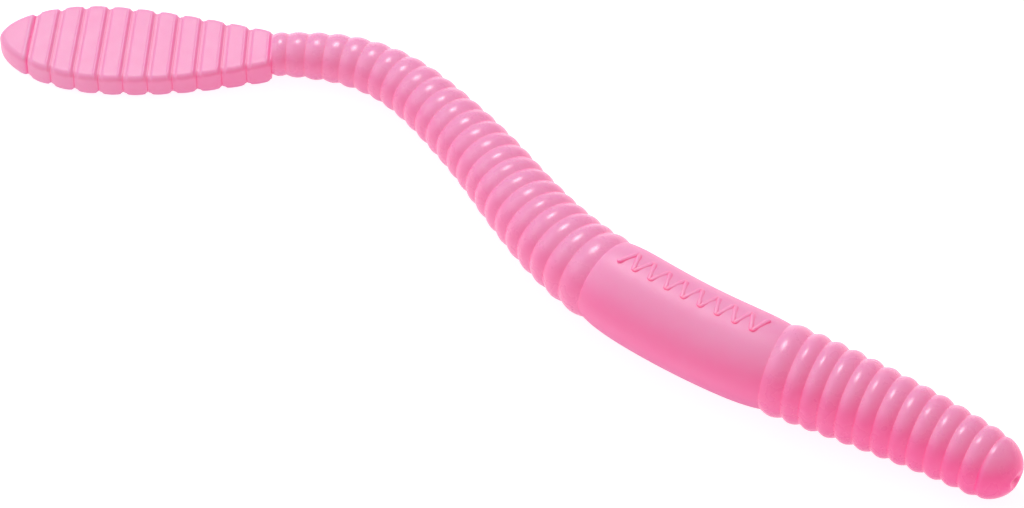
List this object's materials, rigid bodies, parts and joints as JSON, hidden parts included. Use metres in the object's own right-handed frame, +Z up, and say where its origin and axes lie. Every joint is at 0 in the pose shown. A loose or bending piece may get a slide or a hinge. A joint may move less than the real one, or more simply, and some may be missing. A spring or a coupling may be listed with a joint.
{
  "type": "soft plastic worm",
  "caption": "Soft plastic fishing worm with a ringed head and body, a smooth collar and a flat ribbed paddle tail, hinged at each groove.",
  "frame": {"origin": "middle of the worm's footprint, on the surface it lies on", "axes": "+X towards the nose end, +Z up from the surface, +Y to the side the paddle lies on"},
  "size_m": [0.1006, 0.0624, 0.0093],
  "materials": {
    "soft_plastic": "satin, slightly translucent"
  },
  "bodies": {
    "collar": {"collar": "soft_plastic"},
    "head_ring_01": {"head_ring_01": "soft_plastic"},
    "head_ring_02": {"head_ring_02": "soft_plastic"},
    "head_ring_03": {"head_ring_03": "soft_plastic"},
    "head_ring_04": {"head_ring_04": "soft_plastic"},
    "head_ring_05": {"head_ring_05": "soft_plastic"},
    "head_ring_06": {"head_ring_06": "soft_plastic"},
    "head_ring_07": {"head_ring_07": "soft_plastic"},
    "head_ring_08": {"head_ring_08": "soft_plastic"},
    "head_ring_09": {"head_ring_09": "soft_plastic"},
    "head_ring_10": {"head_ring_10": "soft_plastic"},
    "head_ring_11": {"head_ring_11": "soft_plastic"},
    "head_ring_12": {"head_ring_12": "soft_plastic"},
    "nose": {"nose": "soft_plastic"},
    "body_ring_01": {"body_ring_01": "soft_plastic"},
    "body_ring_02": {"body_ring_02": "soft_plastic"},
    "body_ring_03": {"body_ring_03": "soft_plastic"},
    "body_ring_04": {"body_ring_04": "soft_plastic"},
    "body_ring_05": {"body_ring_05": "soft_plastic"},
    "body_ring_06": {"body_ring_06": "soft_plastic"},
    "body_ring_07": {"body_ring_07": "soft_plastic"},
    "body_ring_08": {"body_ring_08": "soft_plastic"},
    "body_ring_09": {"body_ring_09": "soft_plastic"},
    "body_ring_10": {"body_ring_10": "soft_plastic"},
    "body_ring_11": {"body_ring_11": "soft_plastic"},
    "body_ring_12": {"body_ring_12": "soft_plastic"},
    "body_ring_13": {"body_ring_13": "soft_plastic"},
    "body_ring_14": {"body_ring_14": "soft_plastic"},
    "body_ring_15": {"body_ring_15": "soft_plastic"},
    "body_ring_16": {"body_ring_16": "soft_plastic"},
    "body_ring_17": {"body_ring_17": "soft_plastic"},
    "body_ring_18": {"body_ring_18": "soft_plastic"},
    "body_ring_19": {"body_ring_19": "soft_plastic"},
    "body_ring_20": {"body_ring_20": "soft_plastic"},
    "body_ring_21": {"body_ring_21": "soft_plastic"},
    "body_ring_22": {"body_ring_22": "soft_plastic"},
    "body_ring_23": {"body_ring_23": "soft_plastic"},
    "body_ring_24": {"body_ring_24": "soft_plastic"},
    "paddle_rib_01": {"paddle_rib_01": "soft_plastic"},
    "paddle_rib_02": {"paddle_rib_02": "soft_plastic"},
    "paddle_rib_03": {"paddle_rib_03": "soft_plastic"},
    "paddle_rib_04": {"paddle_rib_04": "soft_plastic"},
    "paddle_rib_05": {"paddle_rib_05": "soft_plastic"},
    "paddle_rib_06": {"paddle_rib_06": "soft_plastic"},
    "paddle_rib_07": {"paddle_rib_07": "soft_plastic"},
    "paddle_rib_08": {"paddle_rib_08": "soft_plastic"},
    "paddle_rib_09": {"paddle_rib_09": "soft_plastic"},
    "paddle_rib_10": {"paddle_rib_10": "soft_plastic"},
    "paddle_tip": {"paddle_tip": "soft_plastic"}
  },
  "joints": [
    {"name": "head_sway", "type": "hinge", "parent": "collar", "child": "head_ring_01", "pos_m": [0.02698, -0.01704, 0.00463], "axis": [0, 0, 1], "range_deg": [-8, 8], "stiffness_Nm_per_rad": 0.0099},
    {"name": "head_nod", "type": "hinge", "parent": "head_ring_01", "child": "head_ring_02", "pos_m": [0.02906, -0.01807, 0.0046], "axis": [-0.4446, -0.8957, 0], "range_deg": [-8, 8], "stiffness_Nm_per_rad": 0.0096},
    {"name": "head_sway_2", "type": "hinge", "parent": "head_ring_02", "child": "head_ring_03", "pos_m": [0.03073, -0.0189, 0.00454], "axis": [0, 0, 1], "range_deg": [-8, 8], "stiffness_Nm_per_rad": 0.009},
    {"name": "head_nod_2", "type": "hinge", "parent": "head_ring_03", "child": "head_ring_04", "pos_m": [0.03241, -0.01974, 0.00446], "axis": [-0.4509, -0.8926, 0], "range_deg": [-8, 8], "stiffness_Nm_per_rad": 0.0084},
    {"name": "head_sway_3", "type": "hinge", "parent": "head_ring_04", "child": "head_ring_05", "pos_m": [0.03407, -0.02059, 0.00438], "axis": [0, 0, 1], "range_deg": [-8, 8], "stiffness_Nm_per_rad": 0.0078},
    {"name": "head_nod_3", "type": "hinge", "parent": "head_ring_05", "child": "head_ring_06", "pos_m": [0.03573, -0.02145, 0.00428], "axis": [-0.4617, -0.887, 0], "range_deg": [-8, 8], "stiffness_Nm_per_rad": 0.0071},
    {"name": "head_sway_4", "type": "hinge", "parent": "head_ring_06", "child": "head_ring_07", "pos_m": [0.03739, -0.02232, 0.00418], "axis": [0, 0, 1], "range_deg": [-8, 8], "stiffness_Nm_per_rad": 0.0064},
    {"name": "head_nod_4", "type": "hinge", "parent": "head_ring_07", "child": "head_ring_08", "pos_m": [0.03904, -0.0232, 0.00407], "axis": [-0.4726, -0.8813, 0], "range_deg": [-8, 8], "stiffness_Nm_per_rad": 0.0057},
    {"name": "head_sway_5", "type": "hinge", "parent": "head_ring_08", "child": "head_ring_09", "pos_m": [0.04068, -0.02409, 0.00395], "axis": [0, 0, 1], "range_deg": [-8, 8], "stiffness_Nm_per_rad": 0.0051},
    {"name": "head_nod_5", "type": "hinge", "parent": "head_ring_09", "child": "head_ring_10", "pos_m": [0.04231, -0.02502, 0.00383], "axis": [-0.5, -0.866, 0], "range_deg": [-8, 8], "stiffness_Nm_per_rad": 0.0044},
    {"name": "head_sway_6", "type": "hinge", "parent": "head_ring_10", "child": "head_ring_11", "pos_m": [0.04392, -0.02596, 0.0037], "axis": [0, 0, 1], "range_deg": [-8, 8], "stiffness_Nm_per_rad": 0.0039},
    {"name": "head_nod_6", "type": "hinge", "parent": "head_ring_11", "child": "head_ring_12", "pos_m": [0.04552, -0.02694, 0.00357], "axis": [-0.527, -0.8499, 0], "range_deg": [-8, 8], "stiffness_Nm_per_rad": 0.0033},
    {"name": "head_sway_7", "type": "hinge", "parent": "head_ring_12", "child": "nose", "pos_m": [0.0471, -0.02793, 0.00346], "axis": [0, 0, 1], "range_deg": [-8, 8], "stiffness_Nm_per_rad": 0.0028},
    {"name": "front_body_sway", "type": "hinge", "parent": "collar", "child": "body_ring_01", "pos_m": [0.01071, -0.00621, 0.00455], "axis": [0, 0, 1], "range_deg": [-8, 8], "stiffness_Nm_per_rad": 0.0088},
    {"name": "front_body_nod", "type": "hinge", "parent": "body_ring_01", "child": "body_ring_02", "pos_m": [0.00893, -0.00453, 0.00442], "axis": [0.7102, 0.704, 0], "range_deg": [-8, 8], "stiffness_Nm_per_rad": 0.0081},
    {"name": "front_body_sway_2", "type": "hinge", "parent": "body_ring_02", "child": "body_ring_03", "pos_m": [0.00757, -0.00306, 0.00432], "axis": [0, 0, 1], "range_deg": [-8, 8], "stiffness_Nm_per_rad": 0.0073},
    {"name": "front_body_nod_2", "type": "hinge", "parent": "body_ring_03", "child": "body_ring_04", "pos_m": [0.0063, -0.00152, 0.00422], "axis": [0.7864, 0.6177, 0], "range_deg": [-8, 8], "stiffness_Nm_per_rad": 0.0067},
    {"name": "front_body_sway_3", "type": "hinge", "parent": "body_ring_04", "child": "body_ring_05", "pos_m": [0.0051, 0.00008, 0.00413], "axis": [0, 0, 1], "range_deg": [-8, 8], "stiffness_Nm_per_rad": 0.0061},
    {"name": "front_body_nod_3", "type": "hinge", "parent": "body_ring_05", "child": "body_ring_06", "pos_m": [0.00397, 0.00173, 0.00403], "axis": [0.8363, 0.5483, 0], "range_deg": [-8, 8], "stiffness_Nm_per_rad": 0.0055},
    {"name": "front_body_sway_4", "type": "hinge", "parent": "body_ring_06", "child": "body_ring_07", "pos_m": [0.00289, 0.00341, 0.00393], "axis": [0, 0, 1], "range_deg": [-8, 8], "stiffness_Nm_per_rad": 0.005},
    {"name": "front_body_nod_4", "type": "hinge", "parent": "body_ring_07", "child": "body_ring_08", "pos_m": [0.00183, 0.00511, 0.00384], "axis": [0.8549, 0.5188, 0], "range_deg": [-8, 8], "stiffness_Nm_per_rad": 0.0045},
    {"name": "front_body_sway_5", "type": "hinge", "parent": "body_ring_08", "child": "body_ring_09", "pos_m": [0.00081, 0.00683, 0.00374], "axis": [0, 0, 1], "range_deg": [-8, 8], "stiffness_Nm_per_rad": 0.004},
    {"name": "front_body_nod_5", "type": "hinge", "parent": "body_ring_09", "child": "body_ring_10", "pos_m": [-0.00022, 0.00855, 0.00364], "axis": [0.8513, 0.5247, 0], "range_deg": [-8, 8], "stiffness_Nm_per_rad": 0.0036},
    {"name": "front_body_sway_6", "type": "hinge", "parent": "body_ring_10", "child": "body_ring_11", "pos_m": [-0.00129, 0.01023, 0.00354], "axis": [0, 0, 1], "range_deg": [-8, 8], "stiffness_Nm_per_rad": 0.0032},
    {"name": "front_body_nod_6", "type": "hinge", "parent": "body_ring_11", "child": "body_ring_12", "pos_m": [-0.0024, 0.0119, 0.00345], "axis": [0.8246, 0.5657, 0], "range_deg": [-8, 8], "stiffness_Nm_per_rad": 0.0029},
    {"name": "rear_body_sway", "type": "hinge", "parent": "body_ring_12", "child": "body_ring_13", "pos_m": [-0.00355, 0.01353, 0.00335], "axis": [0, 0, 1], "range_deg": [-12, 12], "stiffness_Nm_per_rad": 0.0025},
    {"name": "rear_body_nod", "type": "hinge", "parent": "body_ring_13", "child": "body_ring_14", "pos_m": [-0.00474, 0.01514, 0.00325], "axis": [0.796, 0.6053, 0], "range_deg": [-12, 12], "stiffness_Nm_per_rad": 0.0022},
    {"name": "rear_body_sway_2", "type": "hinge", "parent": "body_ring_14", "child": "body_ring_15", "pos_m": [-0.00597, 0.01672, 0.00315], "axis": [0, 0, 1], "range_deg": [-12, 12], "stiffness_Nm_per_rad": 0.002},
    {"name": "rear_body_nod_2", "type": "hinge", "parent": "body_ring_15", "child": "body_ring_16", "pos_m": [-0.00724, 0.01826, 0.00306], "axis": [0.7655, 0.6435, 0], "range_deg": [-12, 12], "stiffness_Nm_per_rad": 0.0017},
    {"name": "rear_body_sway_3", "type": "hinge", "parent": "body_ring_16", "child": "body_ring_17", "pos_m": [-0.0086, 0.01973, 0.00296], "axis": [0, 0, 1], "range_deg": [-12, 12], "stiffness_Nm_per_rad": 0.0015},
    {"name": "rear_body_nod_3", "type": "hinge", "parent": "body_ring_17", "child": "body_ring_18", "pos_m": [-0.01008, 0.02107, 0.00286], "axis": [0.6327, 0.7744, 0], "range_deg": [-12, 12], "stiffness_Nm_per_rad": 0.0013},
    {"name": "rear_body_sway_4", "type": "hinge", "parent": "body_ring_18", "child": "body_ring_19", "pos_m": [-0.01171, 0.02223, 0.00276], "axis": [0, 0, 1], "range_deg": [-12, 12], "stiffness_Nm_per_rad": 0.0011},
    {"name": "rear_body_nod_4", "type": "hinge", "parent": "body_ring_19", "child": "body_ring_20", "pos_m": [-0.01346, 0.02319, 0.00266], "axis": [0.4218, 0.9067, 0], "range_deg": [-12, 12], "stiffness_Nm_per_rad": 0.00097},
    {"name": "rear_body_sway_5", "type": "hinge", "parent": "body_ring_20", "child": "body_ring_21", "pos_m": [-0.01533, 0.02392, 0.00257], "axis": [0, 0, 1], "range_deg": [-12, 12], "stiffness_Nm_per_rad": 0.00083},
    {"name": "rear_body_nod_5", "type": "hinge", "parent": "body_ring_21", "child": "body_ring_22", "pos_m": [-0.01726, 0.02441, 0.00247], "axis": [0.1848, 0.9828, 0], "range_deg": [-12, 12], "stiffness_Nm_per_rad": 0.0007},
    {"name": "rear_body_sway_6", "type": "hinge", "parent": "body_ring_22", "child": "body_ring_23", "pos_m": [-0.01924, 0.02473, 0.00237], "axis": [0, 0, 1], "range_deg": [-12, 12], "stiffness_Nm_per_rad": 0.00059},
    {"name": "rear_body_nod_6", "type": "hinge", "parent": "body_ring_23", "child": "body_ring_24", "pos_m": [-0.02122, 0.02495, 0.00227], "axis": [0.0863, 0.9963, 0], "range_deg": [-12, 12], "stiffness_Nm_per_rad": 0.00049},
    {"name": "paddle_twist", "type": "hinge", "parent": "body_ring_24", "child": "paddle_rib_01", "pos_m": [-0.02277, 0.02505, 0.00196], "axis": [-0.9993, 0.0366, 0], "range_deg": [-30, 30], "stiffness_Nm_per_rad": 0.00014},
    {"name": "paddle_flap", "type": "hinge", "parent": "paddle_rib_01", "child": "paddle_rib_02", "pos_m": [-0.02522, 0.02514, 0.00168], "axis": [0.0436, 0.999, 0], "range_deg": [-10, 10], "stiffness_Nm_per_rad": 0.0012},
    {"name": "paddle_flap_2", "type": "hinge", "parent": "paddle_rib_02", "child": "paddle_rib_03", "pos_m": [-0.02767, 0.02526, 0.00163], "axis": [0.0506, 0.9987, 0], "range_deg": [-10, 10], "stiffness_Nm_per_rad": 0.0013},
    {"name": "paddle_flap_3", "type": "hinge", "parent": "paddle_rib_03", "child": "paddle_rib_04", "pos_m": [-0.03011, 0.02539, 0.00158], "axis": [0.0576, 0.9983, 0], "range_deg": [-10, 10], "stiffness_Nm_per_rad": 0.0013},
    {"name": "paddle_flap_4", "type": "hinge", "parent": "paddle_rib_04", "child": "paddle_rib_05", "pos_m": [-0.03256, 0.02554, 0.00153], "axis": [0.0645, 0.9979, 0], "range_deg": [-10, 10], "stiffness_Nm_per_rad": 0.0013},
    {"name": "paddle_flap_5", "type": "hinge", "parent": "paddle_rib_05", "child": "paddle_rib_06", "pos_m": [-0.035, 0.02571, 0.0015], "axis": [0.0715, 0.9974, 0], "range_deg": [-10, 10], "stiffness_Nm_per_rad": 0.0013},
    {"name": "paddle_flap_6", "type": "hinge", "parent": "paddle_rib_06", "child": "paddle_rib_07", "pos_m": [-0.03744, 0.02589, 0.0015], "axis": [0.0785, 0.9969, 0], "range_deg": [-10, 10], "stiffness_Nm_per_rad": 0.0014},
    {"name": "paddle_flap_7", "type": "hinge", "parent": "paddle_rib_07", "child": "paddle_rib_08", "pos_m": [-0.03989, 0.02609, 0.0015], "axis": [0.0854, 0.9963, 0], "range_deg": [-10, 10], "stiffness_Nm_per_rad": 0.0014},
    {"name": "paddle_flap_8", "type": "hinge", "parent": "paddle_rib_08", "child": "paddle_rib_09", "pos_m": [-0.04233, 0.02631, 0.0015], "axis": [0.0924, 0.9957, 0], "range_deg": [-10, 10], "stiffness_Nm_per_rad": 0.0013},
    {"name": "paddle_flap_9", "type": "hinge", "parent": "paddle_rib_09", "child": "paddle_rib_10", "pos_m": [-0.04477, 0.02654, 0.0015], "axis": [0.0993, 0.9951, 0], "range_deg": [-10, 10], "stiffness_Nm_per_rad": 0.0012},
    {"name": "paddle_flap_10", "type": "hinge", "parent": "paddle_rib_10", "child": "paddle_tip", "pos_m": [-0.0472, 0.0268, 0.0015], "axis": [0.1063, 0.9943, 0], "range_deg": [-10, 10], "stiffness_Nm_per_rad": 0.00087}
  ],
  "couplings": [
    {"joint": "head_sway_2", "follows": "head_sway", "ratio": 1},
    {"joint": "head_nod_2", "follows": "head_nod", "ratio": 1},
    {"joint": "head_sway_3", "follows": "head_sway", "ratio": 1},
    {"joint": "head_nod_3", "follows": "head_nod", "ratio": 1},
    {"joint": "head_sway_4", "follows": "head_sway", "ratio": 1},
    {"joint": "head_nod_4", "follows": "head_nod", "ratio": 1},
    {"joint": "head_sway_5", "follows": "head_sway", "ratio": 1},
    {"joint": "head_nod_5", "follows": "head_nod", "ratio": 1},
    {"joint": "head_sway_6", "follows": "head_sway", "ratio": 1},
    {"joint": "head_nod_6", "follows": "head_nod", "ratio": 1},
    {"joint": "head_sway_7", "follows": "head_sway", "ratio": 1},
    {"joint": "front_body_sway_2", "follows": "front_body_sway", "ratio": 1},
    {"joint": "front_body_nod_2", "follows": "front_body_nod", "ratio": 1},
    {"joint": "front_body_sway_3", "follows": "front_body_sway", "ratio": 1},
    {"joint": "front_body_nod_3", "follows": "front_body_nod", "ratio": 1},
    {"joint": "front_body_sway_4", "follows": "front_body_sway", "ratio": 1},
    {"joint": "front_body_nod_4", "follows": "front_body_nod", "ratio": 1},
    {"joint": "front_body_sway_5", "follows": "front_body_sway", "ratio": 1},
    {"joint": "front_body_nod_5", "follows": "front_body_nod", "ratio": 1},
    {"joint": "front_body_sway_6", "follows": "front_body_sway", "ratio": 1},
    {"joint": "front_body_nod_6", "follows": "front_body_nod", "ratio": 1},
    {"joint": "rear_body_sway_2", "follows": "rear_body_sway", "ratio": 1},
    {"joint": "rear_body_nod_2", "follows": "rear_body_nod", "ratio": 1},
    {"joint": "rear_body_sway_3", "follows": "rear_body_sway", "ratio": 1},
    {"joint": "rear_body_nod_3", "follows": "rear_body_nod", "ratio": 1},
    {"joint": "rear_body_sway_4", "follows": "rear_body_sway", "ratio": 1},
    {"joint": "rear_body_nod_4", "follows": "rear_body_nod", "ratio": 1},
    {"joint": "rear_body_sway_5", "follows": "rear_body_sway", "ratio": 1},
    {"joint": "rear_body_nod_5", "follows": "rear_body_nod", "ratio": 1},
    {"joint": "rear_body_sway_6", "follows": "rear_body_sway", "ratio": 1},
    {"joint": "rear_body_nod_6", "follows": "rear_body_nod", "ratio": 1},
    {"joint": "paddle_flap_2", "follows": "paddle_flap", "ratio": 1},
    {"joint": "paddle_flap_3", "follows": "paddle_flap", "ratio": 1},
    {"joint": "paddle_flap_4", "follows": "paddle_flap", "ratio": 1},
    {"joint": "paddle_flap_5", "follows": "paddle_flap", "ratio": 1},
    {"joint": "paddle_flap_6", "follows": "paddle_flap", "ratio": 1},
    {"joint": "paddle_flap_7", "follows": "paddle_flap", "ratio": 1},
    {"joint": "paddle_flap_8", "follows": "paddle_flap", "ratio": 1},
    {"joint": "paddle_flap_9", "follows": "paddle_flap", "ratio": 1},
    {"joint": "paddle_flap_10", "follows": "paddle_flap", "ratio": 1}
  ]
}
